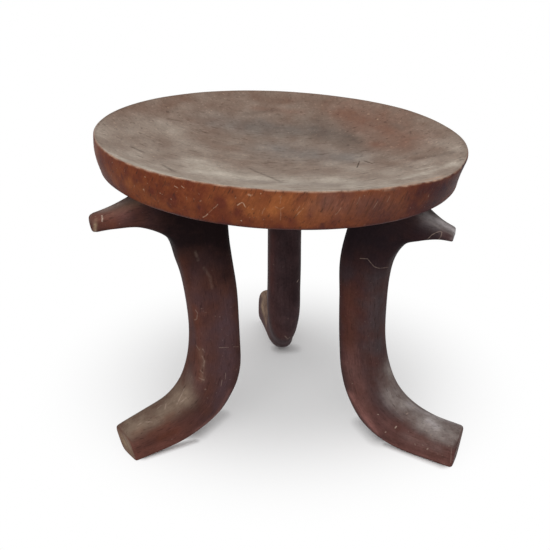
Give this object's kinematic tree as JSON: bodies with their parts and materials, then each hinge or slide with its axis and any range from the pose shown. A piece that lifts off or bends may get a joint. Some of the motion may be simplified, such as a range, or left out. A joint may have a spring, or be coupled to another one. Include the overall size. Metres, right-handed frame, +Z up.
{
  "type": "three-legged stool",
  "caption": "Low carved wooden stool: a round dished seat on C-shaped legs, each flaring into a blunt horn under the seat and into a foot on the floor.",
  "frame": {"origin": "on the floor, under the middle of the stool's bounding box", "axes": "+Z up; +Y from the front, between two legs, to the single rear leg; +X to the right seen from the front"},
  "size_m": [0.3841, 0.4189, 0.3361],
  "materials": {
    "seat_wood": "worn, dusty, satin on the side",
    "leg_wood": "dark, hand-polished, dusty on the feet"
  },
  "bodies": {
    "root": {"seat": "seat_wood", "front_left_leg": "leg_wood", "front_right_leg": "leg_wood", "rear_leg": "leg_wood"}
  },
  "joints": []
}
